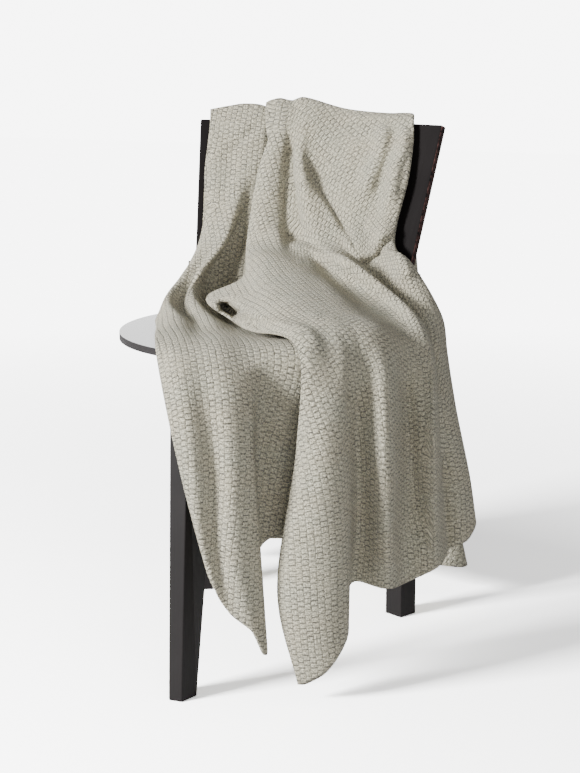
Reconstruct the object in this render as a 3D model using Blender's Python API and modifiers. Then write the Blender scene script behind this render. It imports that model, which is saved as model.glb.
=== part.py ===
"""Knitted throw draped over a plain three-legged chair, in metres with +Z up."""
import math

import bmesh
import bpy
import numpy as np
from mathutils import Matrix

# Chair: the seat's centre is on the Z axis and its front faces -Y.
SEAT_HEIGHT = 0.450
SEAT_THICKNESS = 0.010
SEAT_RADIUS = 0.2075
SEAT_ROUNDING = 0.003
SEAT_SIDES = 96
FIT_GAP = 0.0003

FRONT_LEG_FOOT = {"front_y": -0.308, "back_y": -0.280, "front_half": 0.0095, "back_half": 0.0187}
FRONT_LEG_TOP = {"front_y": -0.284, "back_y": -0.185, "front_half": 0.0130, "back_half": 0.0165}
FRONT_LEG_SHOULDER = 0.035

REAR_LEG_X = 0.166
REAR_LEG_Y = 0.134
REAR_LEG_SIDE = 0.032
REAR_LEG_TURN = math.radians(25)
REAR_LEG_HEIGHT = 0.520

PANEL_BOTTOM = 0.470
PANEL_TOP = 0.732
PANEL_TOP_HALF_WIDTH = 0.195
PANEL_TOP_Y = 0.208
PANEL_TAPER = 0.113
PANEL_RECLINE = math.radians(19.6)
PANEL_SAGITTA = 0.035
PANEL_THICKNESS = 0.011
PANEL_ROUNDING = 0.002
PANEL_COLUMNS = 24
LEG_ROUNDING = 0.0015

# Throw: a knitted sheet folded once lengthwise, with its fold on the right.
# Its tables stand in a frame turned by DRAPE_TURN from the chair's, about the
# seat's centre: across to the right, toward the sitter's knees, and up.
CLOTH_THICKNESS = 0.004
DRAPE_TURN = math.radians(22.1)
ALONG_STEPS = {"length": 0.036, "fewest": 2, "most": 4}
ACROSS_STEPS = {"length": 0.029, "fewest": 2, "most": 3}
MM = 0.001
TINY = 1e-6

MID_HEIGHT = 0.340
LOW_SHARE = 0.62
UPPER_HEIGHT = 0.660
NECK_HEIGHT = 0.560
SHOULDER_DROP = 0.008
SHOULDER_SHARE = 0.92

REAR_LEFT = -0.095
REAR_RIGHT = 0.311
REAR_HIGH = 0.560
REAR_LOW = 0.300
REAR_HEM = 0.050
REAR_WAVE = 0.006
REAR_WAVE_LENGTH = 0.130

# Millimetres. Rail, upper and neck rows stand proud of the back panel's face.
BACK_COLUMNS = ("rail_across", "rail_proud", "upper_across", "upper_proud",
                "neck_across", "neck_proud")
BACK = {
    "top_hem":      (0, 24, 14, 12, 12, 13),
    "roll":         (5, 27, 3, 18, -10, 19),
    "dome_edge":    (11, 29, -10, 25, -27, 31),
    "ridge":        (21, 31, 5, 33, -9, 45),
    "ridge_flank":  (31, 29, 24, 24, 18, 36),
    "pocket":       (37, 28, 34, 12, 33, 10),
    "lip":          (41, 28, 39, 14, 46, 19),
    "rope_flank":   (46, 30, 44, 19, 60, 25),
    "rope":         (55, 33, 54, 29, 80, 40),
    "long_crease":  (68, 31, 67, 15, 118, 16),
    "smooth":       (120, 17, 118, 21, 138, 20),
    "right_crease": (188, 12, 174, 15, 158, 16),
    "right_strip":  (203, 13, 192, 26, 174, 28),
    "fold":         (219, 12, 209, 19, 188, 19),
    "fold_return":  (215, 6, 206, 7, 185, 7),
    "under_right":  (170, 8, 160, 6, 150, 6),
    "under_middle": (110, 8, 100, 6, 90, 6),
    "recess_right": (50, 8, 45, 6, 35, 6),
    "recess_left":  (9, 8, 4, 6, -12, 6),
    "left_edge":    (-4, 19, -14, 12, -54, 7),
    "left_ridge":   (-35, 22, -37, 15, -61, 40),
    "left_valley":  (-55, 19, -58, 11, -78, 34),
    "left_round":   (-72, 16, -78, 12, -90, 26),
    "left_hem":     (-87, 13, -94, 7, -99, 9),
}

# Millimetres. Over the seat, from its back to the rim that the throw turns down.
SEAT_COLUMNS = ("sill_across", "sill_toward", "sill_up", "lap_across", "lap_toward", "lap_up",
                "fore_across", "fore_toward", "fore_up", "rim_across", "rim_toward", "rim_up")
SEAT = {
    "top_hem":      (4, -92, 502, -44, -28, 471, -24, 94, 466, 46, 222, 463),
    "roll":         (-14, -88, 508, -83, -60, 487, -32, 68, 479, 56, 219, 471),
    "dome_edge":    (-27, -76, 527, -24, -12, 511, 0, 114, 489, 66, 212, 475),
    "ridge":        (-9, -64, 542, -4, 4, 522, 26, 124, 497, 82, 204, 469),
    "ridge_flank":  (22, -54, 541, 30, 20, 523, 55, 127, 500, 106, 193, 471),
    "pocket":       (46, -50, 536, 66, 30, 518, 88, 123, 497, 128, 177, 470),
    "lip":          (68, -52, 530, 98, 32, 510, 121, 109, 492, 161, 153, 469),
    "rope_flank":   (90, -62, 522, 121, -10, 499, 168, 63, 476, 195, 119, 452),
    "rope":         (120, -46, 542, 155, -10, 518, 206, 50, 480, 226, 96, 441),
    "long_crease":  (147, -66, 522, 177, -26, 502, 219, 26, 467, 234, 62, 430),
    "smooth":       (160, -76, 512, 187, -37, 489, 226, 10, 460, 238, 50, 424),
    "right_crease": (176, -60, 530, 197, -26, 500, 231, 12, 466, 244, 46, 427),
    "right_strip":  (196, -44, 549, 211, -16, 514, 244, 6, 469, 255, 30, 420),
    "fold":         (212, -43, 535, 236, -16, 500, 255, -14, 460, 260, 0, 412),
    "fold_return":  (201, -54, 526, 226, -27, 487, 243, -26, 450, 248, -14, 404),
    "under_right":  (160, -88, 514, 174, -36, 474, 210, 12, 465, 227, 43, 431),
    "under_middle": (95, -118, 508, 100, -75, 454, 142, 38, 456, 158, 151, 454),
    "recess_right": (38, -136, 508, 40, -90, 452.5, 60, 70, 452.5, 76, 205, 453),
    "recess_left":  (-15, -150, 508, -15, -115, 452.5, 0, 60, 452.5, 4, 218, 452),
    "left_edge":    (-84, -156, 508, -88, -128, 461, -40, 50, 457, -22, 222, 453),
    "left_ridge":   (-94, -112, 518, -108, -90, 492, -70, 76, 468, -54, 236, 457),
    "left_valley":  (-108, -108, 507, -126, -66, 472, -92, 80, 465, -82, 240, 455),
    "left_round":   (-122, -108, 512, -142, -50, 488, -120, 72, 475, -110, 244, 454),
    "left_hem":     (-130, -115, 498, -155, -54, 462, -150, 66, 462, -138, 220, 456),
}

# Millimetres. From the rim down to the hem at the knees.
DROP_COLUMNS = ("mid_across", "mid_toward", "low_across", "low_toward",
                "hem_across", "hem_toward", "hem_up")
DROP = {
    "top_hem":      (46, 250, 21, 270, 47, 284, 24),
    "roll":         (52, 258, 27, 280, 55, 287, 25),
    "dome_edge":    (60, 266, 40, 290, 66, 290, 31),
    "ridge":        (78, 272, 70, 296, 84, 291, 44),
    "ridge_flank":  (106, 256, 107, 280, 110, 278, 84),
    "pocket":       (126, 218, 125, 220, 118, 226, 145),
    "lip":          (162, 222, 163, 230, 164, 236, 140),
    "rope_flank":   (193, 166, 192, 175, 193, 188, 132),
    "rope":         (227, 170, 230, 178, 232, 185, 150),
    "long_crease":  (239, 128, 247, 135, 252, 145, 158),
    "smooth":       (240, 114, 247, 122, 254, 133, 160),
    "right_crease": (246, 108, 255, 114, 263, 124, 163),
    "right_strip":  (258, 98, 277, 103, 283, 112, 168),
    "fold":         (270, 68, 290, 74, 298, 85, 188),
    "fold_return":  (260, 54, 280, 60, 288, 70, 190),
    "under_right":  (215, 98, 225, 108, 230, 118, 180),
    "under_middle": (140, 165, 140, 176, 140, 184, 185),
    "recess_right": (36, 205, 36, 210, 36, 218, 212),
    "recess_left":  (-8, 212, -5, 222, -4, 236, 197),
    "left_edge":    (-16, 272, -5, 282, 4, 288, 66),
    "left_ridge":   (-41, 292, -36, 300, -15, 298, 104),
    "left_valley":  (-64, 280, -59, 288, -43, 295, 127),
    "left_round":   (-89, 296, -78, 300, -63, 298, 163),
    "left_hem":     (-110, 284, -92, 287, -80, 290, 217),
}

TOP_LAYER = ("top_hem", "roll", "dome_edge", "ridge", "ridge_flank", "pocket", "lip", "rope_flank",
             "rope", "long_crease", "smooth", "right_crease", "right_strip", "fold")
REAR_AWAY = {"inner": 0.012, "outer": 0.028}
CLEARANCE = {"inner": 0.0066, "outer": 0.0126}
SETTLED = 0.0041
EDGE_BAND = 0.030


def layer_of(fold):
    """Whether a fold line is in the layer that shows or in the one next to the chair."""
    return "outer" if fold in TOP_LAYER else "inner"


def column(table, columns, fold, name):
    """One value of a fold's row, in metres."""
    return table[fold][columns.index(name)] * MM


def drape_to_chair(across, toward, up):
    """A point of the throw's tables in the chair's frame."""
    cos_turn = math.cos(DRAPE_TURN)
    sin_turn = math.sin(DRAPE_TURN)
    x = across * cos_turn + toward * sin_turn
    y = across * sin_turn - toward * cos_turn
    return (x, y, up)


def panel_front(share, height):
    """A point on the back panel's front face, share running from -1 to 1."""
    drop = PANEL_TOP - height
    half_width = PANEL_TOP_HALF_WIDTH - drop * PANEL_TAPER
    ends_y = PANEL_TOP_Y - drop * math.tan(PANEL_RECLINE)
    return (share * half_width, ends_y + PANEL_SAGITTA * (1 - share * share), height)


def panel_toward(across, height):
    """How far toward the knees the panel's front face lies at one place across."""
    shares = np.linspace(-1.15, 1.15, 47)
    points = np.array([panel_front(share, height) for share in shares])
    cos_turn = math.cos(DRAPE_TURN)
    sin_turn = math.sin(DRAPE_TURN)
    face_across = points[:, 0] * cos_turn + points[:, 1] * sin_turn
    face_toward = points[:, 0] * sin_turn - points[:, 1] * cos_turn
    return float(np.interp(across, face_across, face_toward))


def rear_stations(fold):
    """Where a fold line hangs behind the chair, from its rear hem up to the rail."""
    rail_across = column(BACK, BACK_COLUMNS, fold, "rail_across")
    rail_proud = column(BACK, BACK_COLUMNS, fold, "rail_proud")
    rail_left = BACK["left_hem"][0] * MM
    rail_right = BACK["fold"][0] * MM
    share = (rail_across - rail_left) / (rail_right - rail_left)
    hem_across = REAR_LEFT + share * (REAR_RIGHT - REAR_LEFT)
    away = REAR_AWAY[layer_of(fold)]
    points = []
    for height in (REAR_HEM, REAR_LOW, REAR_HIGH):
        fallen = (PANEL_TOP - height) / (PANEL_TOP - REAR_HEM)
        across = rail_across + fallen**2 * (hem_across - rail_across)
        wave = REAR_WAVE * fallen * (1 + math.sin(2 * math.pi * across / REAR_WAVE_LENGTH))
        back_toward = panel_toward(across, PANEL_TOP) - PANEL_THICKNESS
        points.append((across, back_toward - away - wave, height))
    back_toward = panel_toward(rail_across, PANEL_TOP) - PANEL_THICKNESS
    points.append((rail_across, back_toward - rail_proud * SHOULDER_SHARE, PANEL_TOP - SHOULDER_DROP))
    return points


def panel_stations(fold):
    """Where a fold line passes over the rail and down the front of the panel."""
    rail_across = column(BACK, BACK_COLUMNS, fold, "rail_across")
    rail_proud = column(BACK, BACK_COLUMNS, fold, "rail_proud")
    front_toward = panel_toward(rail_across, PANEL_TOP)
    points = [
        (rail_across, front_toward - PANEL_THICKNESS / 2, PANEL_TOP + rail_proud),
        (rail_across, front_toward + rail_proud * SHOULDER_SHARE, PANEL_TOP - SHOULDER_DROP),
    ]
    for name, height in (("upper", UPPER_HEIGHT), ("neck", NECK_HEIGHT)):
        across = column(BACK, BACK_COLUMNS, fold, name + "_across")
        proud = column(BACK, BACK_COLUMNS, fold, name + "_proud")
        points.append((across, panel_toward(across, height) + proud, height))
    return points


def seat_stations(fold):
    """Where a fold line crosses the seat and its rim."""
    points = []
    for name in ("sill", "lap", "fore", "rim"):
        points.append(tuple(column(SEAT, SEAT_COLUMNS, fold, name + "_" + way)
                            for way in ("across", "toward", "up")))
    return points


def drop_stations(fold):
    """Where a fold line hangs in front, down to the hem."""
    row = {name: column(DROP, DROP_COLUMNS, fold, name) for name in DROP_COLUMNS}
    low_up = MID_HEIGHT + LOW_SHARE * (row["hem_up"] - MID_HEIGHT)
    return [
        (row["mid_across"], row["mid_toward"], MID_HEIGHT),
        (row["low_across"], row["low_toward"], low_up),
        (row["hem_across"], row["hem_toward"], row["hem_up"]),
    ]


def fold_line(fold):
    """All the stations of one fold line, from the rear hem to the front hem."""
    return np.array(rear_stations(fold) + panel_stations(fold) + seat_stations(fold)
                    + drop_stations(fold))


def smooth_steps(rows, counts):
    """Cubic curves through rows of points, with counts steps between each pair."""
    gaps = np.sqrt(np.maximum(np.linalg.norm(np.diff(rows, axis=0), axis=-1), 1e-5))
    first = 2 * rows[0] - rows[1]
    last = 2 * rows[-1] - rows[-2]
    padded = np.concatenate([first[None], rows, last[None]])
    padded_gaps = np.concatenate([gaps[:1], gaps, gaps[-1:]])
    result = []
    for index, count in enumerate(counts):
        before, start, end, after = padded[index:index + 4]
        gap_before, gap, gap_after = (padded_gaps[index + n][..., None] for n in range(3))
        slope_start = ((start - before) / gap_before - (end - before) / (gap_before + gap)
                       + (end - start) / gap) * gap
        slope_end = ((end - start) / gap - (after - start) / (gap + gap_after)
                     + (after - end) / gap_after) * gap
        for step in range(count):
            t = step / count
            result.append((2 * t**3 - 3 * t**2 + 1) * start + (t**3 - 2 * t**2 + t) * slope_start
                          + (3 * t**2 - 2 * t**3) * end + (t**3 - t**2) * slope_end)
    result.append(rows[-1])
    return np.array(result)


def step_counts(rows, steps):
    """How many steps each gap between rows needs for its longest stretch."""
    reach = np.linalg.norm(np.diff(rows, axis=0), axis=-1).max(axis=-1)
    wanted = np.ceil(reach / steps["length"])
    return np.clip(wanted, steps["fewest"], steps["most"]).astype(int)


def off_the_seat(point, clearance):
    """Moves a point out until it clears the round seat, by less where it lies on its middle."""
    x, y, z = point
    reach = math.hypot(x, y)
    edge_share = min(max((reach - SEAT_RADIUS) / EDGE_BAND + 1, 0), 1)
    clearance -= SETTLED * (1 - edge_share)
    nearest_reach = min(reach, SEAT_RADIUS)
    nearest_z = min(max(z, SEAT_HEIGHT - SEAT_THICKNESS), SEAT_HEIGHT)
    away = math.hypot(reach - nearest_reach, z - nearest_z)
    if away >= clearance:
        return point
    if away < TINY:
        return (x, y, SEAT_HEIGHT + clearance)
    stretch = clearance / away
    new_reach = nearest_reach + (reach - nearest_reach) * stretch
    new_z = nearest_z + (z - nearest_z) * stretch
    return (x * new_reach / reach, y * new_reach / reach, new_z)


def off_the_panel(point, clearance):
    """Moves a point out until it is a clearance away from the back panel."""
    x, y, z = point
    share = x / (PANEL_TOP_HALF_WIDTH - (PANEL_TOP - z) * PANEL_TAPER)
    if abs(share) > 1 + clearance / PANEL_TOP_HALF_WIDTH:
        return point
    share = min(max(share, -1), 1)
    edge_y = panel_front(share, PANEL_TOP)[1]
    slope = 2 * PANEL_SAGITTA * share / PANEL_TOP_HALF_WIDTH
    turn = math.cos(math.atan(slope))
    up_y = math.sin(PANEL_RECLINE)
    up_z = math.cos(PANEL_RECLINE)
    rise = (y - edge_y) * turn * up_y + (z - PANEL_TOP) * up_z
    front = -(y - edge_y) * turn * up_z + (z - PANEL_TOP) * up_y
    board_height = (PANEL_TOP - PANEL_BOTTOM) / up_z
    nearest_rise = min(max(rise, -board_height), 0)
    nearest_front = min(max(front, -PANEL_THICKNESS), 0)
    away = math.hypot(rise - nearest_rise, front - nearest_front)
    if away >= clearance:
        return point
    if away < TINY:
        is_front = front > -PANEL_THICKNESS / 2
        rise, front = nearest_rise, (clearance if is_front else -PANEL_THICKNESS - clearance)
    else:
        stretch = clearance / away
        rise = nearest_rise + (rise - nearest_rise) * stretch
        front = nearest_front + (front - nearest_front) * stretch
    new_y = edge_y + (rise * up_y - front * up_z) / turn
    new_z = PANEL_TOP + rise * up_z + front * up_y
    return (x, new_y, new_z)


def drape_points():
    """The throw's middle surface as a grid of points, rows along and columns across."""
    lines = np.array([fold_line(fold) for fold in BACK])
    along = np.swapaxes(lines, 0, 1)
    along = smooth_steps(along, step_counts(along, ALONG_STEPS))
    grid = np.swapaxes(along, 0, 1)
    counts = step_counts(grid, ACROSS_STEPS)
    grid = smooth_steps(grid, counts)
    layers = np.array([CLEARANCE[layer_of(fold)] for fold in BACK])
    clearances = np.interp(np.arange(len(grid)), np.cumsum([0, *counts]), layers)
    points = np.empty((grid.shape[1], grid.shape[0], 3))
    for at_column, clearance in enumerate(clearances):
        for at_row in range(grid.shape[1]):
            point = drape_to_chair(*grid[at_column][at_row])
            point = off_the_seat(point, clearance)
            points[at_row][at_column] = off_the_panel(point, clearance)
    return points


def finish_material(name, colour, roughness):
    """A matt finish with one colour."""
    material = bpy.data.materials.new(name)
    material.use_nodes = True
    shader = material.node_tree.nodes["Principled BSDF"]
    shader.inputs["Base Color"].default_value = (*colour, 1)
    shader.inputs["Roughness"].default_value = roughness
    shader.inputs["Metallic"].default_value = 0
    return material


def add_object(name, mesh_builder, material, collection, parent):
    """Makes one object from a bmesh that mesh_builder fills."""
    mesh = bpy.data.meshes.new(name)
    shape = bmesh.new()
    mesh_builder(shape)
    shape.to_mesh(mesh)
    shape.free()
    piece = bpy.data.objects.new(name, mesh)
    piece.parent = parent
    collection.objects.link(piece)
    if material is not None:
        mesh.materials.append(material)
    return piece


def round_edges(piece, width, segments):
    """Rounds the sharp edges of a piece."""
    bevel = piece.modifiers.new("rounding", "BEVEL")
    bevel.width = width
    bevel.segments = segments
    bevel.limit_method = "ANGLE"
    bevel.angle_limit = math.radians(40)


def cut(piece, cutter):
    """Takes a cutter's shape out of a piece."""
    cutter.hide_render = True
    cutter.display_type = "WIRE"
    taken = piece.modifiers.new("cut", "BOOLEAN")
    taken.operation = "DIFFERENCE"
    taken.solver = "EXACT"
    taken.object = cutter


def seat_shape(shape):
    """The round seat board."""
    bmesh.ops.create_cone(shape, cap_ends=True, segments=SEAT_SIDES, radius1=SEAT_RADIUS,
                          radius2=SEAT_RADIUS, depth=SEAT_THICKNESS)
    middle_height = SEAT_HEIGHT - SEAT_THICKNESS / 2
    bmesh.ops.translate(shape, vec=(0, 0, middle_height), verts=shape.verts)


def front_leg_shape(shape):
    """The tapered front leg, narrow in front, from the floor to the seat's underside."""
    bmesh.ops.create_cube(shape, size=2)
    leg_height = SEAT_HEIGHT - SEAT_THICKNESS - FIT_GAP
    for vert in shape.verts:
        section = FRONT_LEG_TOP if vert.co.z > 0 else FRONT_LEG_FOOT
        face = "front" if vert.co.y < 0 else "back"
        x = math.copysign(section[face + "_half"], vert.co.x)
        top = leg_height - (FRONT_LEG_SHOULDER if vert.co.y < 0 else 0)
        z = top if vert.co.z > 0 else 0
        vert.co = (x, section[face + "_y"], z)


def rear_leg_shape(side, grow, height):
    """A square rear leg, or with grow the slot that it leaves in the seat's rim."""
    def fill(shape):
        bmesh.ops.create_cube(shape, size=1)
        width = REAR_LEG_SIDE + 2 * grow
        bmesh.ops.scale(shape, vec=(width, width, height), verts=shape.verts)
        turn = Matrix.Rotation(-side * REAR_LEG_TURN, 3, "Z")
        bmesh.ops.rotate(shape, cent=(0, 0, 0), matrix=turn, verts=shape.verts)
        bmesh.ops.translate(shape, vec=(side * REAR_LEG_X, REAR_LEG_Y, height / 2),
                            verts=shape.verts)
    return fill


def panel_sheet(shape, bottom, top, reach, set_back):
    """The panel's curved face as an open sheet."""
    bmesh.ops.create_grid(shape, x_segments=PANEL_COLUMNS, y_segments=1, size=1)
    for vert in shape.verts:
        height = bottom if vert.co.y < 0 else top
        x, y, z = panel_front(vert.co.x * reach, height)
        slope = 2 * PANEL_SAGITTA * vert.co.x * reach / PANEL_TOP_HALF_WIDTH
        shift = set_back * math.hypot(1, slope) / math.cos(PANEL_RECLINE)
        vert.co = (x, y + shift, z)


def panel_shape(shape):
    """The bent back panel's front face."""
    panel_sheet(shape, PANEL_BOTTOM, PANEL_TOP, 1, 0)


def panel_seat_shape(shape):
    """All that stands in front of the panel's back face, above the legs' ledges."""
    ledge = PANEL_BOTTOM - PANEL_THICKNESS * math.sin(PANEL_RECLINE) - FIT_GAP
    panel_sheet(shape, ledge, PANEL_TOP, 1.15, PANEL_THICKNESS + 2 * FIT_GAP)
    grown = bmesh.ops.extrude_face_region(shape, geom=list(shape.faces))
    moved = [item for item in grown["geom"] if isinstance(item, bmesh.types.BMVert)]
    bmesh.ops.translate(shape, vec=(0, -0.12, 0), verts=moved)
    bmesh.ops.recalc_face_normals(shape, faces=shape.faces)


def throw_shape(shape):
    """The throw's middle surface."""
    points = drape_points()
    rows, columns = points.shape[:2]
    bmesh.ops.create_grid(shape, x_segments=columns - 1, y_segments=rows - 1, size=1)
    for vert in shape.verts:
        at_column = round((vert.co.x + 1) / 2 * (columns - 1))
        at_row = round((vert.co.y + 1) / 2 * (rows - 1))
        vert.co = points[at_row][at_column]


def black_wood(name):
    """The chair's black stain, one material for each board or leg."""
    return finish_material(name + "_black_wood", (0.012, 0.011, 0.011), 0.45)


def build_chair(collection, cutters, root):
    """The chair that the throw hangs on."""
    seat = add_object("chair_seat", seat_shape, black_wood("seat"), collection, root)
    add_object("leg_front", front_leg_shape, black_wood("front_leg"), collection, root)
    round_edges(collection.objects["leg_front"], LEG_ROUNDING, 2)
    panel_seat = add_object("panel_seat_cutter", panel_seat_shape, None, cutters, root)
    for side, word in ((-1, "left"), (1, "right")):
        leg = add_object("leg_rear_" + word, rear_leg_shape(side, 0, REAR_LEG_HEIGHT),
                         black_wood(word + "_leg"), collection, root)
        cut(leg, panel_seat)
        round_edges(leg, LEG_ROUNDING, 1)
        slot = add_object("leg_slot_cutter_" + word, rear_leg_shape(side, FIT_GAP, 0.6), None,
                          cutters, root)
        cut(seat, slot)
    round_edges(seat, SEAT_ROUNDING, 2)
    panel = add_object("back_panel", panel_shape, black_wood("panel"), collection, root)
    wall = panel.modifiers.new("board", "SOLIDIFY")
    wall.thickness = PANEL_THICKNESS
    wall.offset = -1
    wall.use_even_offset = True
    round_edges(panel, PANEL_ROUNDING, 2)


def build_throw(collection, root):
    """The knitted throw as one sheet."""
    wool = finish_material("grey_knit", (0.42, 0.40, 0.35), 0.9)
    throw = add_object("throw", throw_shape, wool, collection, root)
    knit = throw.modifiers.new("knit", "SOLIDIFY")
    knit.thickness = CLOTH_THICKNESS
    knit.offset = 0
    knit.use_even_offset = False


def stand_on_origin(collection, root):
    """Puts the floor point under the middle of the whole box at the origin."""
    graph = bpy.context.evaluated_depsgraph_get()
    places = []
    for piece in collection.objects:
        if piece.type == "MESH":
            mesh = piece.evaluated_get(graph).data
            places.extend(vert.co[:] for vert in mesh.vertices)
    low = np.min(places, axis=0)
    middle = (low + np.max(places, axis=0)) / 2
    root.location = (-middle[0], -middle[1], -low[2])


def build():
    """Clears the scene and makes the whole object."""
    for old in list(bpy.data.objects):
        bpy.data.objects.remove(old, do_unlink=True)
    collection = bpy.data.collections.new("throw_on_chair")
    cutters = bpy.data.collections.new("cutters")
    bpy.context.scene.collection.children.link(collection)
    bpy.context.scene.collection.children.link(cutters)
    root = bpy.data.objects.new("floor_point", None)
    collection.objects.link(root)
    build_chair(collection, cutters, root)
    build_throw(collection, root)
    stand_on_origin(collection, root)


build()
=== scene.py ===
"""Looks of a knitted throw that hangs over a plain black wooden chair."""

import math

import bmesh
import bpy
import numpy as np
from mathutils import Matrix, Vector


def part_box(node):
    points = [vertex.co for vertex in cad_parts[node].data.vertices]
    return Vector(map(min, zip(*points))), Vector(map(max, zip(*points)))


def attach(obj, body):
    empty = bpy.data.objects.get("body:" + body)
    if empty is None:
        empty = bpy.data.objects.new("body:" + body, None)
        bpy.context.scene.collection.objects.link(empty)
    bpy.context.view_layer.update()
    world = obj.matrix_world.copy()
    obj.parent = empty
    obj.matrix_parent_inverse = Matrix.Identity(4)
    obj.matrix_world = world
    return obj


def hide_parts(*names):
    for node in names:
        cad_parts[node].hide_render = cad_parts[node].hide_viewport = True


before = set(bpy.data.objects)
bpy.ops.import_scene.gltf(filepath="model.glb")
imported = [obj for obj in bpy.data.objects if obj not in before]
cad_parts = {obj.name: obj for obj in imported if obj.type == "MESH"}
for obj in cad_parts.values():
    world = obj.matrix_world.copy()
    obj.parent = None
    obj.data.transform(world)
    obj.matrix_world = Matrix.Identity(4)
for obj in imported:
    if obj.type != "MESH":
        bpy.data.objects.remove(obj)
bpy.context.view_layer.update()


# Seat: a thin round board of hardwood with a softened rim, turned and stained
# black, then waxed. It carries the chair's own axis, which everything that
# hangs on the chair is placed from.
SEAT_RADIUS = 0.2075
SEAT_TOP = 0.450
SEAT_THICKNESS = 0.010

seat_low, seat_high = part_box("chair_seat")
AXIS_X = (seat_low.x + seat_high.x) / 2
AXIS_Y = (seat_low.y + seat_high.y) / 2


def colour(hex_value):
    """A linear colour from its sRGB hex value."""
    parts = [int(hex_value[i:i + 2], 16) / 255 for i in (1, 3, 5)]
    return [c / 12.92 if c <= 0.04045 else ((c + 0.055) / 1.055) ** 2.4 for c in parts] + [1]


def add_node(material, kind, inputs, **settings):
    """Adds a node with its settings, its values and its links."""
    node = material.node_tree.nodes.new("ShaderNode" + kind)
    for name, value in settings.items():
        setattr(node, name, value)
    for socket, value in inputs.items():
        if isinstance(value, bpy.types.NodeSocket):
            material.node_tree.links.new(value, node.inputs[socket])
        else:
            node.inputs[socket].default_value = value
    return node


def stained_wood(name, grain_turn, base, open_grain):
    """Black-stained ash, brushed and waxed: close pores run along the grain and take the light."""
    material = bpy.data.materials.new(name)
    material.use_nodes = True
    shader = material.node_tree.nodes["Principled BSDF"]
    place = add_node(material, "TexCoord", {}).outputs["Object"]
    # Pores are about 0.3 mm by 6 mm. They are drawn at 1 mm by 20 mm, so that they show.
    along = add_node(material, "Mapping", {"Vector": place, "Rotation": grain_turn,
                                           "Scale": (1000, 1000, 50)}).outputs["Vector"]
    pores = add_node(material, "TexNoise", {"Vector": along, "Scale": 1.0, "Detail": 3.0,
                                            "Roughness": 0.6}).outputs["Fac"]
    clouds = add_node(material, "TexNoise", {"Vector": place, "Scale": 14.0,
                                             "Detail": 2.0}).outputs["Fac"]
    tone = add_node(material, "Mix", {0: clouds, 6: colour(base), 7: colour(open_grain)},
                    data_type="RGBA")
    material.node_tree.links.new(tone.outputs[2], shader.inputs["Base Color"])
    shader.inputs["Specular IOR Level"].default_value = 0.3
    shine = add_node(material, "MapRange", {"Value": pores, "From Min": 0.3, "From Max": 0.7,
                                            "To Min": 0.44, "To Max": 0.62})
    material.node_tree.links.new(shine.outputs["Result"], shader.inputs["Roughness"])
    relief = add_node(material, "Bump", {"Height": pores, "Strength": 0.18, "Distance": 0.0004})
    material.node_tree.links.new(relief.outputs["Normal"], shader.inputs["Normal"])
    return material


def dress(node_name, material):
    """Gives a CAD node's mesh one material."""
    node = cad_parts[node_name]
    node.data.materials.clear()
    node.data.materials.append(material)


seat_stain = stained_wood("seat_black_stained_ash", (math.radians(90), 0, 0), "#232021", "#2b2728")
seat_stain.node_tree.nodes["Principled BSDF"].inputs["Coat Weight"].default_value = 1.0
seat_stain.node_tree.nodes["Principled BSDF"].inputs["Coat Roughness"].default_value = 0.12
dress("chair_seat", seat_stain)


# Legs: one tapered blade in front and two square posts behind, sawn from the
# same ash, their arrises just broken with a plane, stained black and waxed.
for leg in ("leg_front", "leg_rear_left", "leg_rear_right"):
    dress(leg, stained_wood(leg + "_black_stained_ash", (0, 0, 0), "#181515", "#221f1f"))


# Back panel: a board bent round the sitter's back, 11 mm thick. Hands have
# worn the stain off the arris at its right end, where pale pinkish wood shows.
PANEL_TOP = 0.732
PANEL_BOTTOM = 0.470
PANEL_TOP_HALF = 0.195
PANEL_TOP_Y = 0.208
PANEL_TAPER = 0.113
PANEL_RECLINE = math.radians(19.6)
PANEL_SAGITTA = 0.035
PANEL_THICKNESS = 0.011

panel_stain = stained_wood("panel_black_stained_ash", (0, math.radians(90), 0), "#151313", "#1e1b1b")
place = add_node(panel_stain, "TexCoord", {}).outputs["Object"]
facing = add_node(panel_stain, "NewGeometry", {}).outputs["Normal"]
turn_right = add_node(panel_stain, "SeparateXYZ", {"Vector": facing}).outputs["X"]
past_face = add_node(panel_stain, "MapRange", {"Value": turn_right, "From Min": 0.66,
                                               "From Max": 0.72}).outputs["Result"]
before_end = add_node(panel_stain, "MapRange", {"Value": turn_right, "From Min": 0.97,
                                                "From Max": 0.90}).outputs["Result"]
arris = add_node(panel_stain, "Math", {0: past_face, 1: before_end}, operation="MULTIPLY")
rubs = add_node(panel_stain, "TexNoise", {"Vector": place, "Scale": 160.0, "Detail": 3.0})
patchy = add_node(panel_stain, "MapRange", {"Value": rubs.outputs["Fac"], "From Min": 0.36,
                                            "From Max": 0.80})
worn = add_node(panel_stain, "Math", {0: arris.outputs[0], 1: patchy.outputs["Result"]},
                operation="MULTIPLY").outputs[0]
panel_shader = panel_stain.node_tree.nodes["Principled BSDF"]
panel_shader.inputs["Specular IOR Level"].default_value = 0.04
stain_tone = panel_shader.inputs["Base Color"].links[0].from_socket
bare = add_node(panel_stain, "Mix", {0: worn, 6: stain_tone, 7: colour("#8e6560")},
                data_type="RGBA")
panel_stain.node_tree.links.new(bare.outputs[2], panel_shader.inputs["Base Color"])
dress("back_panel", panel_stain)


# Throw: a soft wool and alpaca throw, knitted in one piece in a close basket
# stitch with plain narrow edges. It hangs over the panel with one long fold on
# the right, crosses the seat and falls over the rim to two loose points.
CLOTH = 0.0040
DRAPE_TURN = math.radians(22.1)
ALONG_STEP = 0.0080
ACROSS_STEP = 0.0088
MM = 0.001

MID_UP = 0.340
LOW_SHARE = 0.62
UPPER_UP = 0.660
NECK_UP = 0.560
SHOULDER_DROP = 0.008
SHOULDER_SHARE = 0.92

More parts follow.
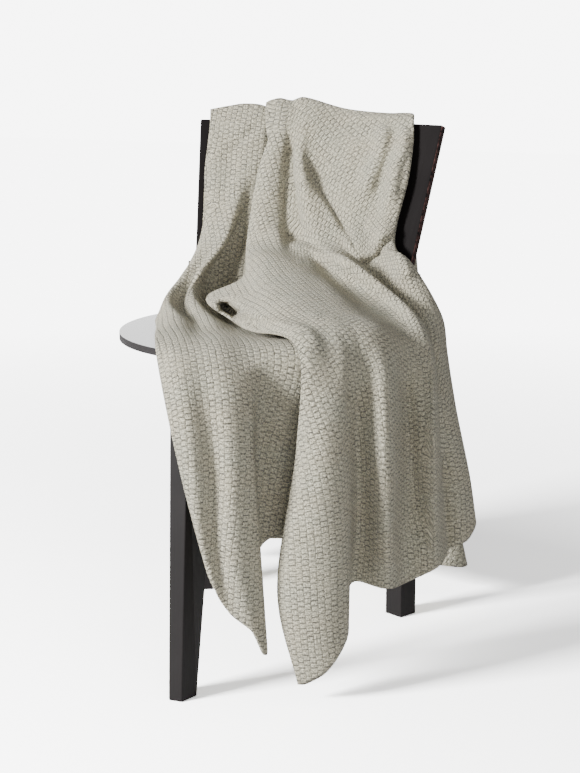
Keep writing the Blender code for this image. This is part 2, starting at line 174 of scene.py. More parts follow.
REAR_LEFT = -0.095
REAR_RIGHT = 0.311
REAR_UPS = (0.050, 0.300, 0.560)
REAR_WAVE = 0.006
REAR_WAVE_LENGTH = 0.130
REAR_AWAY = {"inner": 0.012, "outer": 0.028}
CLEARANCE = {"inner": 0.0048, "outer": 0.0100}
SETTLED = 0.0023
EDGE_BAND = 0.030

# Millimetres in the drape's own frame, which is turned from the chair's and
# centred on the seat: across to the right, toward the knees, and up.
BACK_COLUMNS = ("rail_across", "rail_proud", "upper_across", "upper_proud",
                "neck_across", "neck_proud")
BACK = {
    "top_hem":      (0, 24, 14, 12, 12, 13),
    "roll":         (5, 27, 3, 18, -10, 19),
    "dome_edge":    (11, 29, -10, 25, -27, 31),
    "ridge":        (21, 31, 5, 33, -9, 45),
    "ridge_flank":  (31, 29, 24, 24, 18, 36),
    "pocket":       (37, 28, 34, 12, 33, 10),
    "lip":          (41, 28, 39, 14, 46, 19),
    "rope_flank":   (46, 30, 44, 19, 60, 25),
    "rope":         (55, 33, 54, 29, 80, 40),
    "long_crease":  (68, 31, 67, 15, 118, 16),
    "smooth":       (120, 17, 118, 21, 138, 20),
    "right_crease": (188, 12, 174, 15, 158, 16),
    "right_strip":  (203, 13, 192, 26, 174, 28),
    "fold":         (219, 12, 209, 19, 188, 19),
    "fold_return":  (215, 6, 206, 7, 185, 7),
    "under_right":  (170, 8, 160, 6, 150, 6),
    "under_middle": (110, 8, 100, 6, 90, 6),
    "recess_right": (50, 8, 45, 6, 35, 6),
    "recess_left":  (9, 8, 4, 6, -12, 6),
    "left_edge":    (-4, 19, -14, 12, -54, 7),
    "left_ridge":   (-35, 22, -37, 15, -61, 40),
    "left_valley":  (-55, 19, -58, 11, -78, 34),
    "left_round":   (-72, 16, -78, 12, -90, 26),
    "left_hem":     (-87, 13, -94, 7, -99, 9),
}

SEAT_COLUMNS = ("sill_across", "sill_toward", "sill_up", "lap_across", "lap_toward", "lap_up",
                "fore_across", "fore_toward", "fore_up", "rim_across", "rim_toward", "rim_up")
SEAT = {
    "top_hem":      (4, -92, 502, -44, -28, 471, -24, 94, 466, 46, 222, 463),
    "roll":         (-14, -88, 508, -83, -60, 487, -32, 68, 479, 56, 219, 471),
    "dome_edge":    (-27, -76, 527, -24, -12, 511, 0, 114, 489, 66, 212, 475),
    "ridge":        (-9, -64, 542, -4, 4, 522, 26, 124, 497, 82, 204, 469),
    "ridge_flank":  (22, -54, 541, 30, 20, 523, 55, 127, 500, 106, 193, 471),
    "pocket":       (46, -50, 536, 66, 30, 518, 88, 123, 497, 128, 177, 470),
    "lip":          (68, -52, 530, 98, 32, 510, 121, 109, 492, 161, 153, 469),
    "rope_flank":   (90, -62, 522, 121, -10, 499, 168, 63, 476, 195, 119, 452),
    "rope":         (120, -46, 542, 155, -10, 518, 206, 50, 480, 226, 96, 441),
    "long_crease":  (147, -66, 522, 177, -26, 502, 219, 26, 467, 234, 62, 430),
    "smooth":       (160, -76, 512, 187, -37, 489, 226, 10, 460, 238, 50, 424),
    "right_crease": (176, -60, 530, 197, -26, 500, 231, 12, 466, 244, 46, 427),
    "right_strip":  (196, -44, 549, 211, -16, 514, 244, 6, 469, 255, 30, 420),
    "fold":         (212, -43, 535, 236, -16, 500, 255, -14, 460, 260, 0, 412),
    "fold_return":  (201, -54, 526, 226, -27, 487, 243, -26, 450, 248, -14, 404),
    "under_right":  (160, -88, 514, 174, -36, 474, 210, 12, 465, 227, 43, 431),
    "under_middle": (95, -118, 508, 100, -75, 454, 142, 38, 456, 158, 151, 454),
    "recess_right": (38, -136, 508, 40, -90, 452.5, 60, 70, 452.5, 76, 205, 453),
    "recess_left":  (-15, -150, 508, -15, -115, 452.5, 0, 60, 452.5, 4, 218, 452),
    "left_edge":    (-84, -156, 508, -88, -128, 461, -40, 50, 457, -22, 222, 453),
    "left_ridge":   (-94, -112, 518, -108, -90, 492, -70, 76, 468, -54, 236, 457),
    "left_valley":  (-108, -108, 507, -126, -66, 472, -92, 80, 465, -82, 240, 455),
    "left_round":   (-122, -108, 512, -142, -50, 488, -120, 72, 475, -110, 244, 454),
    "left_hem":     (-130, -115, 498, -155, -54, 462, -150, 66, 462, -138, 220, 456),
}

DROP_COLUMNS = ("mid_across", "mid_toward", "low_across", "low_toward",
                "hem_across", "hem_toward", "hem_up")
DROP = {
    "top_hem":      (46, 250, 21, 270, 47, 284, 24),
    "roll":         (52, 258, 27, 280, 55, 287, 25),
    "dome_edge":    (60, 266, 40, 290, 66, 290, 31),
    "ridge":        (78, 272, 70, 296, 84, 291, 44),
    "ridge_flank":  (106, 256, 107, 280, 110, 278, 84),
    "pocket":       (126, 218, 125, 220, 118, 226, 145),
    "lip":          (162, 222, 163, 230, 164, 236, 140),
    "rope_flank":   (193, 166, 192, 175, 193, 188, 132),
    "rope":         (227, 170, 230, 178, 232, 185, 150),
    "long_crease":  (239, 128, 247, 135, 252, 145, 158),
    "smooth":       (240, 114, 247, 122, 254, 133, 160),
    "right_crease": (246, 108, 255, 114, 263, 124, 163),
    "right_strip":  (258, 98, 277, 103, 283, 112, 168),
    "fold":         (270, 68, 290, 74, 298, 85, 188),
    "fold_return":  (260, 54, 280, 60, 288, 70, 190),
    "under_right":  (215, 98, 225, 108, 230, 118, 180),
    "under_middle": (140, 165, 140, 176, 140, 184, 185),
    "recess_right": (36, 205, 36, 210, 36, 218, 212),
    "recess_left":  (-8, 212, -5, 222, -4, 236, 197),
    "left_edge":    (-16, 272, -5, 282, 4, 288, 66),
    "left_ridge":   (-41, 292, -36, 300, -15, 298, 104),
    "left_valley":  (-64, 280, -59, 288, -43, 295, 127),
    "left_round":   (-89, 296, -78, 300, -63, 298, 163),
    "left_hem":     (-110, 284, -92, 287, -80, 290, 217),
}
FOLDS = list(BACK)
TOP_LAYER = FOLDS[:FOLDS.index("fold") + 1]
PANEL_SHARES = np.linspace(-1.15, 1.15, 47)


def cell(table, columns, fold, name):
    """One value of a fold's row, in metres."""
    return table[fold][columns.index(name)] * MM


def panel_toward(across, up=PANEL_TOP):
    """How far toward the knees the panel's front stands. Lower down it leans forward and narrows."""
    drop = PANEL_TOP - up
    x = PANEL_SHARES * (PANEL_TOP_HALF - drop * PANEL_TAPER)
    y = (PANEL_TOP_Y - drop * math.tan(PANEL_RECLINE)
         + PANEL_SAGITTA * (1 - PANEL_SHARES * PANEL_SHARES))
    cos_turn, sin_turn = math.cos(DRAPE_TURN), math.sin(DRAPE_TURN)
    return float(np.interp(across, x * cos_turn + y * sin_turn, x * sin_turn - y * cos_turn))


def fold_line(fold):
    """One fold line's stations, from the rear hem over the panel and the seat to the front hem."""
    rail_across = cell(BACK, BACK_COLUMNS, fold, "rail_across")
    rail_proud = cell(BACK, BACK_COLUMNS, fold, "rail_proud")
    left, right = BACK["left_hem"][0] * MM, BACK["fold"][0] * MM
    spread = REAR_LEFT + (rail_across - left) / (right - left) * (REAR_RIGHT - REAR_LEFT)
    away = REAR_AWAY["outer" if fold in TOP_LAYER else "inner"]
    points = []
    for up in REAR_UPS:
        fallen = (PANEL_TOP - up) / (PANEL_TOP - REAR_UPS[0])
        across = rail_across + fallen**2 * (spread - rail_across)
        wave = REAR_WAVE * fallen * (1 + math.sin(2 * math.pi * across / REAR_WAVE_LENGTH))
        points.append((across, panel_toward(across) - PANEL_THICKNESS - away - wave, up))
    front = panel_toward(rail_across)
    shoulder = rail_proud * SHOULDER_SHARE
    shoulder_up = PANEL_TOP - SHOULDER_DROP
    points.append((rail_across, front - PANEL_THICKNESS - shoulder, shoulder_up))
    points.append((rail_across, front - PANEL_THICKNESS / 2, PANEL_TOP + rail_proud))
    points.append((rail_across, front + shoulder, shoulder_up))
    for name, up in (("upper", UPPER_UP), ("neck", NECK_UP)):
        across = cell(BACK, BACK_COLUMNS, fold, name + "_across")
        proud = cell(BACK, BACK_COLUMNS, fold, name + "_proud")
        points.append((across, panel_toward(across, up) + proud, up))
    for name in ("sill", "lap", "fore", "rim"):
        points.append([cell(SEAT, SEAT_COLUMNS, fold, name + way)
                       for way in ("_across", "_toward", "_up")])
    drop = {name: cell(DROP, DROP_COLUMNS, fold, name) for name in DROP_COLUMNS}
    low_up = MID_UP + LOW_SHARE * (drop["hem_up"] - MID_UP)
    points.append((drop["mid_across"], drop["mid_toward"], MID_UP))
    points.append((drop["low_across"], drop["low_toward"], low_up))
    points.append((drop["hem_across"], drop["hem_toward"], drop["hem_up"]))
    return points


def smooth_steps(rows, step):
    """Cubic curves through rows of points, in even steps no longer than one length."""
    reaches = np.linalg.norm(np.diff(rows, axis=0), axis=-1)
    counts = np.clip(np.ceil(reaches.max(axis=-1) / step), 2, None).astype(int)
    gaps = np.sqrt(np.maximum(reaches, 1e-5))
    padded = np.concatenate([[2 * rows[0] - rows[1]], rows, [2 * rows[-1] - rows[-2]]])
    gaps = np.concatenate([gaps[:1], gaps, gaps[-1:]])[..., None]
    result = []
    for i, count in enumerate(counts):
        before, start, end, after = padded[i:i + 4]
        before_gap, gap, after_gap = gaps[i:i + 3]
        leave = ((start - before) / before_gap - (end - before) / (before_gap + gap)
                 + (end - start) / gap) * gap
        arrive = ((end - start) / gap - (after - start) / (gap + after_gap)
                  + (after - end) / after_gap) * gap
        for t in np.arange(count) / count:
            result.append((2 * t**3 - 3 * t**2 + 1) * start + (t**3 - 2 * t**2 + t) * leave
                          + (3 * t**2 - 2 * t**3) * end + (t**3 - t**2) * arrive)
    return np.array(result + [rows[-1]]), counts


def off_the_seat(point, clearance):
    """Lifts a point clear of the seat's rim, and lets it lie closer on the seat's middle."""
    reach = math.hypot(point[0], point[1])
    clearance -= SETTLED * (1 - min(max((reach - SEAT_RADIUS) / EDGE_BAND + 1, 0), 1))
    near_reach = min(reach, SEAT_RADIUS)
    near_up = min(max(point[2], SEAT_TOP - SEAT_THICKNESS), SEAT_TOP)
    away = math.hypot(reach - near_reach, point[2] - near_up)
    if away >= clearance or away < 1e-6:
        return point if away >= clearance else (point[0], point[1], SEAT_TOP + clearance)
    stretch = clearance / away
    grown = (near_reach + (reach - near_reach) * stretch) / reach
    return (point[0] * grown, point[1] * grown, near_up + (point[2] - near_up) * stretch)


def off_the_panel(point, clearance, in_front):
    """Moves a point clear of the back panel, straight out from the side that it belongs to."""
    x, y, z = point
    share = x / (PANEL_TOP_HALF - (PANEL_TOP - z) * PANEL_TAPER)
    if abs(share) > 1 + clearance / PANEL_TOP_HALF:
        return point
    share = min(max(share, -1), 1)
    edge_y = PANEL_TOP_Y + PANEL_SAGITTA * (1 - share * share)
    turn = math.cos(math.atan(2 * PANEL_SAGITTA * share / PANEL_TOP_HALF))
    lean, stand = math.sin(PANEL_RECLINE), math.cos(PANEL_RECLINE)
    rise = (y - edge_y) * turn * lean + (z - PANEL_TOP) * stand
    front = -(y - edge_y) * turn * stand + (z - PANEL_TOP) * lean
    board = (PANEL_TOP - PANEL_BOTTOM) / stand
    if in_front and -board < rise < 0:
        front = max(front, -PANEL_THICKNESS / 2)
    near_rise = min(max(rise, -board), 0)
    near_front = min(max(front, -PANEL_THICKNESS), 0)
    away = math.hypot(rise - near_rise, front - near_front)
    if away >= clearance:
        return point
    if away < 1e-6:
        front = clearance if in_front else -PANEL_THICKNESS - clearance
    else:
        rise = near_rise + (rise - near_rise) * clearance / away
        front = near_front + (front - near_front) * clearance / away
    return (x, edge_y + (rise * lean - front * stand) / turn,
            PANEL_TOP + rise * stand + front * lean)


# Creases that the folds alone leave out, in millimetres as the eye in front of
# the chair sees them against an upright plane through the seat's middle. A step
# lifts the cloth on the line's left, seen from its start, and drops sharply. A
# row holds the kind, the width, the depth, the first and last fold and the line.
EYE = (0.037, 2.427, 0.888)
EYE_DIP = math.radians(12.15)
PLANE_DISTANCE = 2.4955
PLANE_UP = 0.3648
PLANE_STRETCH = 1.0228
FADE_SHARE = 0.18
LEAST_FADE = 0.25
STEP_DROP = 0.006
STEP_START = 0.3
HOLE_POWER = 6
CREASES = {
    "thin_crease":   ("trough", 5, 4, "left_edge", "left_hem", ((10, 773), (-21, 742), (-50, 714))),
    "small_pocket":  ("trough", 14, 14, "ridge_flank", "rope_flank",
                      ((33, 730), (40, 670), (46, 600), (44, 592))),
    "pocket_lip":    ("step", 34, 17, "ridge", "rope",
                      ((98, 552), (63, 574), (30, 582), (14, 606))),
    "rope_edge":     ("step", 26, 15, "rope_flank", "smooth",
                      ((138, 548), (117, 590), (95, 627), (66, 671), (50, 716))),
    "hanging_edge":  ("step", 40, 20, "long_crease", "fold",
                      ((112, 600), (118, 574), (136, 549), (162, 560), (172, 582), (192, 594))),
    "lobe":          ("ridge", 13, 14, "long_crease", "fold", ((186, 580), (196, 548), (208, 520))),
    "crease_left":   ("ridge", 11, 17, "smooth", "right_strip",
                      ((176, 764), (168, 715), (158, 690), (148, 664), (142, 640))),
    "crease_right":  ("ridge", 9, 15, "right_crease", "fold",
                      ((206, 764), (199, 715), (190, 696), (184, 668), (180, 630))),
    "slant_ridge":   ("ridge", 14, 13, "lip", "right_strip",
                      ((66, 567), (124, 545), (182, 508), (218, 463), (240, 426), (250, 389))),
    "slant_valley":  ("trough", 17, 16, "ridge_flank", "right_crease",
                      ((37, 549), (95, 541), (153, 508), (189, 471), (214, 426))),
    "tongue_side":   ("trough", 20, 18, "ridge_flank", "rope_flank",
                      ((108, 420), (112, 400), (127, 316), (136, 196), (143, 60))),
    "knee_ridge":    ("ridge", 16, 14, "pocket", "rope",
                      ((150, 440), (170, 390), (176, 241), (181, 106), (181, 60))),
    "knee_valley":   ("trough", 12, 17, "lip", "right_crease",
                      ((196, 410), (200, 368), (208, 301), (214, 226), (220, 150))),
    "side_ridge":    ("ridge", 13, 13, "rope", "fold",
                      ((222, 430), (231, 390), (240, 241), (239, 121), (238, 80))),
    "side_valley":   ("trough", 9, 12, "rope", "fold", ((252, 280), (255, 226), (263, 136), (266, 100))),
    "mouth":         ("hole", 9, 75, "top_hem", "dome_edge", ((-58, 483), (-45, 474))),
    "slit":          ("trough", 6, 14, "top_hem", "dome_edge", ((-50, 482), (-20, 460), (5, 447))),
}


def seen_at(points):
    """Where the eye sees points against the upright plane."""
    level = EYE[1] - points[..., 1]
    below = EYE[2] - points[..., 2]
    scale = PLANE_DISTANCE / (level * math.cos(EYE_DIP) + below * math.sin(EYE_DIP))
    across = EYE[0] + (points[..., 0] - EYE[0]) * scale
    sink = (below * math.cos(EYE_DIP) - level * math.sin(EYE_DIP)) * scale
    return np.stack([across, PLANE_UP - PLANE_STRETCH * sink], axis=-1)


def from_line(seen, line):
    """Distance from a crease's line, the side (1 on its left) and the share of the way along it."""
    nearest = np.full(seen.shape[:-1], math.inf)
    side = np.zeros(seen.shape[:-1])
    share = np.zeros(seen.shape[:-1])
    ends = np.array(line) * MM
    lengths = np.linalg.norm(np.diff(ends, axis=0), axis=-1)
    for i, (start, end) in enumerate(zip(ends[:-1], ends[1:])):
        way = end - start
        from_start = seen - start
        t = np.clip((from_start @ way) / (way @ way), 0, 1)
        away = np.linalg.norm(from_start - t[..., None] * way, axis=-1)
        closer = away < nearest
        nearest = np.where(closer, away, nearest)
        cross = way[0] * from_start[..., 1] - way[1] * from_start[..., 0]
        side = np.where(closer, np.sign(cross), side)
        share = np.where(closer, (lengths[:i].sum() + t * lengths[i]) / lengths.sum(), share)
    return nearest, side, share


def crease(cloth, first_row, starts):
    """Presses and lifts the front of the cloth along the creases."""
    seen = seen_at(cloth)
    to_eye = np.array(EYE) - cloth
    to_eye /= np.linalg.norm(to_eye, axis=-1, keepdims=True)
    lift = np.zeros(cloth.shape[:2])
    numbers = np.interp(np.arange(cloth.shape[1]), starts, np.arange(len(starts)))
    for kind, width, depth, first, last, line in CREASES.values():
        away, side, share = from_line(seen, line)
        fade = np.clip(np.minimum(share, 1 - share) / FADE_SHARE, 0, 1)
        fall = np.exp(-(away / (width * MM))**(HOLE_POWER if kind == "hole" else 2))
        if kind == "hole":
            fade = 1
        elif kind == "step":
            fall = fall * np.clip(side * away / STEP_DROP + STEP_START, 0, 1)
        else:
            fade = np.maximum(fade, LEAST_FADE)
        sign = -1 if kind in ("trough", "hole") else 1
        inside = (numbers >= FOLDS.index(first)) & (numbers <= FOLDS.index(last))
        lift += sign * depth * MM * fall * fade * inside
    lift[:first_row] = 0
    return cloth + to_eye * lift[..., None]


def throw_surface():
    """The throw's middle surface as rows of points, with each column's place in the folds."""
    lines = np.array([fold_line(fold) for fold in FOLDS])
    along, row_counts = smooth_steps(np.swapaxes(lines, 0, 1), ALONG_STEP)
    across, column_counts = smooth_steps(np.swapaxes(along, 0, 1), ACROSS_STEP)
    layer = [CLEARANCE["outer" if fold in TOP_LAYER else "inner"] for fold in FOLDS]
    starts = np.cumsum([0, *column_counts])
    clearances = np.interp(np.arange(len(across)), starts, layer)
    cos_turn, sin_turn = math.cos(DRAPE_TURN), math.sin(DRAPE_TURN)
    front_row = int(row_counts[:5].sum())
    surface = crease(np.swapaxes(across, 0, 1), front_row, starts)
    for row_number, row in enumerate(surface):
        for at, (a, b, up) in enumerate(row):
            point = (a * cos_turn + b * sin_turn, a * sin_turn - b * cos_turn, up)
            point = off_the_seat(point, clearances[at])
            row[at] = off_the_panel(point, clearances[at], row_number >= front_row)
    return surface, starts, front_row


surface, fold_starts, front_row = throw_surface()
rows, columns = surface.shape[:2]
knit = bmesh.new()
bmesh.ops.create_grid(knit, x_segments=columns - 1, y_segments=rows - 1, size=1)
places = {}
for vert in knit.verts:
    at = (round((vert.co.y + 1) / 2 * (rows - 1)), round((vert.co.x + 1) / 2 * (columns - 1)))
    places[vert.index] = at
    vert.co = surface[at]
for face in knit.faces:
    face.smooth = True
bmesh.ops.translate(knit, vec=(AXIS_X, AXIS_Y, 0), verts=knit.verts)
throw_mesh = bpy.data.meshes.new("throw_knit")
knit.to_mesh(throw_mesh)
knit.free()
throw = bpy.data.objects.new("knitted_throw", throw_mesh)
bpy.context.scene.collection.objects.link(throw)


def neighbours(rise, shift):
    """The slices of a grid's points and of the points some rows and columns on."""
    first = (slice(0, -rise or None), slice(max(-shift, 0), -shift if shift > 0 else None))
    second = (slice(rise, None), slice(max(shift, 0), shift if shift < 0 else None))
    return first, second


def lay_flat(cloth, every, coarse_rounds, rounds):
    """Where each point lies when the cloth is laid out with as little stretch as can be."""
    row_picks = np.unique(np.append(np.arange(0, cloth.shape[0], every), cloth.shape[0] - 1))
    column_picks = np.unique(np.append(np.arange(0, cloth.shape[1], every), cloth.shape[1] - 1))
    coarse = cloth[np.ix_(row_picks, column_picks)]
    height, width = coarse.shape[:2]
    shape = bmesh.new()
    bmesh.ops.create_grid(shape, x_segments=width - 1, y_segments=height - 1, size=1)
    spots = []
    for vert in shape.verts:
        spots.append((round((vert.co.y + 1) / 2 * (height - 1)),
                      round((vert.co.x + 1) / 2 * (width - 1))))
        vert.co = coarse[spots[-1]]
    mesh = bpy.data.meshes.new("laid_flat")
    shape.to_mesh(mesh)
    shape.free()
    mesh.uv_layers.new(name="flat")
    helper = bpy.data.objects.new("laid_flat", mesh)
    bpy.context.scene.collection.objects.link(helper)
    bpy.context.view_layer.objects.active = helper
    bpy.ops.object.mode_set(mode="EDIT")
    bpy.ops.mesh.select_all(action="SELECT")
    bpy.ops.uv.unwrap(method="MINIMUM_STRETCH", iterations=8)
    bpy.ops.object.mode_set(mode="OBJECT")
    laid = np.zeros((height, width, 2))
    for loop, corner in zip(mesh.loops, mesh.uv_layers["flat"].data):
        laid[spots[loop.vertex_index]] = corner.uv
    bpy.data.objects.remove(helper, do_unlink=True)
    laid = spring_out(laid, coarse, coarse_rounds)
    for axis, picks, count in ((0, row_picks, cloth.shape[0]), (1, column_picks, cloth.shape[1])):
        laid = np.apply_along_axis(lambda line: np.interp(np.arange(count), picks, line), axis, laid)
    return spring_out(laid, cloth, rounds)


SPRING = 0.12


def spring_out(laid, cloth, rounds):
    """Moves laid points until neighbours are about as far apart as they are on the cloth."""
    ties = [neighbours(1, 0), neighbours(0, 1), neighbours(1, 1), neighbours(1, -1)]
    lengths = [np.linalg.norm(cloth[second] - cloth[first], axis=-1) for first, second in ties]
    spans = [np.linalg.norm(laid[second] - laid[first], axis=-1) for first, second in ties[:2]]
    laid *= sum(length.sum() for length in lengths[:2]) / sum(span.sum() for span in spans)
    for _ in range(rounds):
        move = np.zeros_like(laid)
        for (first, second), length in zip(ties, lengths):
            way = laid[second] - laid[first]
            span = np.maximum(np.linalg.norm(way, axis=-1), 1e-6)
            pull = way * ((1 - length / span) * SPRING)[..., None]
            move[first] += pull
            move[second] -= pull
        laid += move
    return laid


laid = lay_flat(surface, 3, 400, 120)
left_side = slice(fold_starts[FOLDS.index("left_ridge")], fold_starts[FOLDS.index("left_hem")])
upright = (laid[-1] - laid[rows // 2])[left_side].mean(axis=0)
upright /= np.linalg.norm(upright)
laid = laid @ np.array([[upright[1], upright[0]], [-upright[0], upright[1]]])

# Right of the deep pocket the cloth lies on the bias, so its stitches run
# slantwise there. The change is in the valleys of the pocket and the slant.
bias_from = int(fold_starts[FOLDS.index("pocket")])
bias_to = int(fold_starts[FOLDS.index("under_right")])
to_drape = np.array([[math.cos(DRAPE_TURN), math.sin(DRAPE_TURN), 0],
                     [math.sin(DRAPE_TURN), -math.cos(DRAPE_TURN), 0], [0, 0, 1]])
slant = from_line(seen_at(surface @ to_drape), CREASES["slant_valley"][5])[1]
slant[:front_row] = 1
flat_uv = throw_mesh.uv_layers.new(name="flat").data
for polygon in throw_mesh.polygons:
    middle_column = np.mean([places[vertex][1] for vertex in polygon.vertices])
    above = slant[places[polygon.vertices[0]]] > 0
    turned = above and bias_from < middle_column < bias_to
    for corner, vertex in zip(polygon.loop_indices, polygon.vertices):
        s, t = laid[places[vertex]]
        flat_uv[corner].uv = ((s - t) * math.sqrt(0.5), (s + t) * math.sqrt(0.5)) if turned else (s, t)
body = throw.modifiers.new("knit_thickness", "SOLIDIFY")
body.thickness = CLOTH
body.offset = 0

# Wool and alpaca in a basket stitch: matt and hairy, pale fibres over darker
# ones, with painted shade in the gaps between the blocks. Each stitch block is
# about 8.8 mm wide and 7.4 mm high, and its three strands are 2.5 mm apart.
STITCH_WIDTH = 0.0088
STITCH_HEIGHT = 0.0074
STRAND_PITCH = 0.0025

wool = bpy.data.materials.new("basket_knit_wool")
wool.use_nodes = True
wool_shader = wool.node_tree.nodes["Principled BSDF"]


def figure(operation, *values):
    """A Math node's result."""
    return add_node(wool, "Math", dict(enumerate(values)), operation=operation).outputs[0]


flat_place = add_node(wool, "UVMap", {}, uv_map="flat").outputs["UV"]
wander = add_node(wool, "TexNoise", {"Vector": flat_place, "Scale": 90.0, "Detail": 2.0})
shake = add_node(wool, "VectorMath", {0: wander.outputs["Color"], 1: (0.5, 0.5, 0.5)},
                 operation="SUBTRACT").outputs[0]
shake = add_node(wool, "VectorMath", {0: shake, "Scale": 0.0028}, operation="SCALE").outputs[0]
stitch_place = add_node(wool, "VectorMath", {0: flat_place, 1: shake}, operation="ADD").outputs[0]
flat_axes = add_node(wool, "SeparateXYZ", {"Vector": stitch_place})
wale = figure("DIVIDE", flat_axes.outputs["X"], STITCH_WIDTH)
odd = figure("MODULO", figure("ABSOLUTE", figure("FLOOR", wale)), 2.0)
course = figure("ADD", figure("DIVIDE", flat_axes.outputs["Y"], STITCH_HEIGHT),
                figure("MULTIPLY", odd, 0.5))
in_wale = figure("ABSOLUTE", figure("MULTIPLY_ADD", figure("FRACT", wale), 2.0, -1.0))
in_course = figure("ABSOLUTE", figure("MULTIPLY_ADD", figure("FRACT", course), 2.0, -1.0))
# A block's side gaps are deepest at its corners.
side_gap = figure("MULTIPLY", figure("POWER", in_wale, 4.0),
                  figure("ADD", 0.5, figure("MULTIPLY", 0.5, figure("POWER", in_course, 2.0))))
end_gap = figure("POWER", in_course, 4.0)
# No two stitches are pulled equally tight, which breaks up the lines of gaps.
stitch = add_node(wool, "CombineXYZ", {"X": figure("FLOOR", wale), "Y": figure("FLOOR", course)})
tightness = add_node(wool, "TexWhiteNoise", {"Vector": stitch.outputs[0]},
                     noise_dimensions="2D").outputs["Value"]
gap = figure("MULTIPLY", figure("MAXIMUM", side_gap, end_gap),
             figure("MULTIPLY_ADD", tightness, 0.6, 0.75))
crown = figure("SUBTRACT", 1.0, gap)
strand = figure("SINE", figure("MULTIPLY", flat_axes.outputs["Y"], 2 * math.pi / STRAND_PITCH))
fuzz = add_node(wool, "TexNoise", {"Vector": flat_place, "Scale": 520.0, "Detail": 3.0,
                                   "Roughness": 0.7}).outputs["Fac"]
height = figure("ADD", crown, figure("ADD", figure("MULTIPLY", strand, 0.10),
                                     figure("MULTIPLY", fuzz, 0.9)))
relief = add_node(wool, "Bump", {"Height": height, "Strength": 1.0, "Distance": 0.0024})
wool.node_tree.links.new(relief.outputs["Normal"], wool_shader.inputs["Normal"])

flecks = add_node(wool, "TexNoise", {"Vector": flat_place, "Scale": 430.0, "Detail": 4.0,
                                     "Roughness": 0.75}).outputs["Fac"]
melange = add_node(wool, "ValToRGB", {"Fac": flecks})
melange.color_ramp.elements[0].position = 0.36
melange.color_ramp.elements[0].color = colour("#6c685c")
melange.color_ramp.elements[1].position = 0.64
melange.color_ramp.elements[1].color = colour("#f0edde")
middle_tone = melange.color_ramp.elements.new(0.5)
middle_tone.color = colour("#c2bfaf")
clouds = add_node(wool, "TexNoise", {"Vector": flat_place, "Scale": 22.0, "Detail": 2.0})
warmth = add_node(wool, "Mix", {0: clouds.outputs["Fac"], 6: colour("#fbf2e4"),
                                7: colour("#eef0ea")}, data_type="RGBA").outputs[2]
dyed = add_node(wool, "Mix", {0: 1.0, 6: melange.outputs["Color"], 7: warmth},
                data_type="RGBA", blend_type="MULTIPLY").outputs[2]
# Painted shade: the gaps between stitch blocks are darkened toward a dark grey-brown, most at the
# blocks' corners, and noise breaks the darkening up.
gap_painted_shade = figure("MULTIPLY", figure("POWER", gap, 1.5),
                   figure("ADD", 0.5, figure("MULTIPLY", 0.5, figure("MULTIPLY", in_wale, in_course))))
broken = add_node(wool, "MapRange", {"Value": wander.outputs["Fac"], "From Min": 0.35,
                                     "From Max": 0.62, "To Min": 0.35}).outputs["Result"]
knit_colour_with_painted_gap_shade = add_node(wool, "Mix", {0: figure("MULTIPLY", gap_painted_shade, broken), 6: dyed,
                                  7: colour("#3d3a33")}, data_type="RGBA").outputs[2]
wool.node_tree.links.new(knit_colour_with_painted_gap_shade, wool_shader.inputs["Base Color"])
wool_shader.inputs["Roughness"].default_value = 0.95
wool_shader.inputs["Sheen Weight"].default_value = 0.2
wool_shader.inputs["Sheen Roughness"].default_value = 0.6
wool_shader.inputs["Specular IOR Level"].default_value = 0.15
throw.data.materials.append(wool)

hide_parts("throw")
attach(throw, "root")


# Studio: white paper that runs up into a white wall, one large soft light high on
# the left and a weak one on the right. None of it is part of the object.
PAPER_WHITE = 4.0
WALL_WHITE = 7.0
SURROUND_LIGHT = 0.30
WALL_MIRRORED = 3.2

paper = bpy.data.materials.new("white_paper")
paper.use_nodes = True
paper_seen = add_node(paper, "LightPath", {}).outputs["Is Camera Ray"]
paper_tone = add_node(paper, "MapRange", {"Value": paper_seen, "To Min": 0.5, "To Max": PAPER_WHITE})
near_paper = add_node(paper, "BsdfDiffuse", {"Color": paper_tone.outputs["Result"]})
far_glow = add_node(paper, "MapRange", {"Value": paper_seen, "To Min": SURROUND_LIGHT,
                                        "To Max": WALL_WHITE})
far_paper = add_node(paper, "Emission", {"Strength": far_glow.outputs["Result"]})
from_middle = add_node(paper, "VectorMath", {0: add_node(paper, "TexCoord", {}).outputs["Object"]},
                       operation="LENGTH").outputs["Value"]
far_share = add_node(paper, "MapRange", {"Value": from_middle, "From Min": 0.6, "From Max": 2.6})
paper_mix = add_node(paper, "MixShader", {0: far_share.outputs["Result"],
                                          1: near_paper.outputs[0], 2: far_paper.outputs[0]})
paper.node_tree.links.new(paper_mix.outputs[0],
                          paper.node_tree.nodes["Material Output"].inputs["Surface"])
sweep = bmesh.new()
bmesh.ops.create_grid(sweep, x_segments=1, y_segments=1, size=9)
floor_mesh = bpy.data.meshes.new("paper_sweep")
sweep.to_mesh(floor_mesh)
sweep.free()
floor = bpy.data.objects.new("paper_sweep", floor_mesh)
floor.data.materials.append(paper)
bpy.context.scene.collection.objects.link(floor)

surround = bpy.data.worlds.new("white_studio")
surround.use_nodes = True
wall = surround.node_tree.nodes["Background"]
wall.inputs["Color"].default_value = colour("#ffffff")
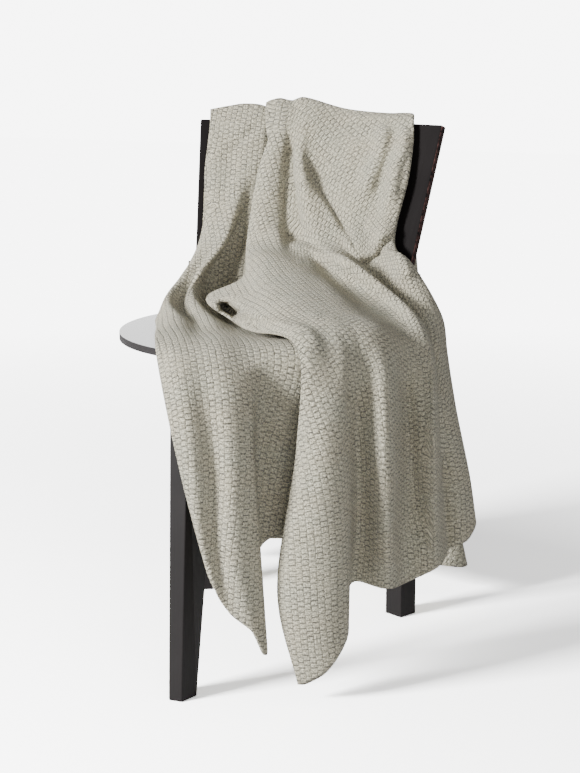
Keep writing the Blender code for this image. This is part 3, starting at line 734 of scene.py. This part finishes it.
# The wall is behind the chair, so only what faces it mirrors it.
seen_by = add_node(surround, "LightPath", {})
toward_wall = add_node(surround, "SeparateXYZ",
                       {"Vector": add_node(surround, "TexCoord", {}).outputs["Generated"]})
mirrored = add_node(surround, "MapRange", {"Value": toward_wall.outputs["Y"], "From Min": 0.1,
                                           "From Max": 0.7, "To Max": WALL_MIRRORED})
gloss = add_node(surround, "Math", {0: seen_by.outputs["Is Glossy Ray"],
                                    1: mirrored.outputs["Result"]}, operation="MULTIPLY")
bright = add_node(surround, "Math", {0: seen_by.outputs["Is Camera Ray"], 1: WALL_WHITE,
                                     2: gloss.outputs[0]}, operation="MULTIPLY_ADD")
strength = add_node(surround, "Math", {0: bright.outputs[0], 1: SURROUND_LIGHT})
surround.node_tree.links.new(strength.outputs[0], wall.inputs["Strength"])
bpy.context.scene.world = surround

LAMPS = {
    "key_softbox": {"place": (-2.1, -2.6, 1.7), "size": 0.9, "power": 320},
    "fill_softbox": {"place": (1.6, -2.4, 0.9), "size": 1.6, "power": 30},
}
AIM = (0.0, 0.0, 0.42)
for lamp_name, lamp in LAMPS.items():
    light = bpy.data.lights.new(lamp_name, "AREA")
    light.size = lamp["size"]
    light.energy = lamp["power"]
    holder = bpy.data.objects.new(lamp_name, light)
    holder.location = lamp["place"]
    toward = np.subtract(AIM, lamp["place"])
    holder.rotation_euler = (math.atan2(math.hypot(toward[0], toward[1]), -toward[2]), 0,
                             math.atan2(toward[1], toward[0]) - math.pi / 2)
    bpy.context.scene.collection.objects.link(holder)

# The camera looks down a little from the right of the chair's front.
CAMERA_OFFSET = (0.947, -2.235, 0.888)
CAMERA_TURN = math.radians(22.11)
lens = bpy.data.cameras.new("camera")
lens.lens = 80.15
lens.sensor_width = 36
camera = bpy.data.objects.new("camera", lens)
camera.location = (CAMERA_OFFSET[0] + AXIS_X, CAMERA_OFFSET[1] + AXIS_Y, CAMERA_OFFSET[2])
camera.rotation_euler = (math.pi / 2 - EYE_DIP, 0, CAMERA_TURN)
bpy.context.scene.collection.objects.link(camera)
bpy.context.scene.camera = camera
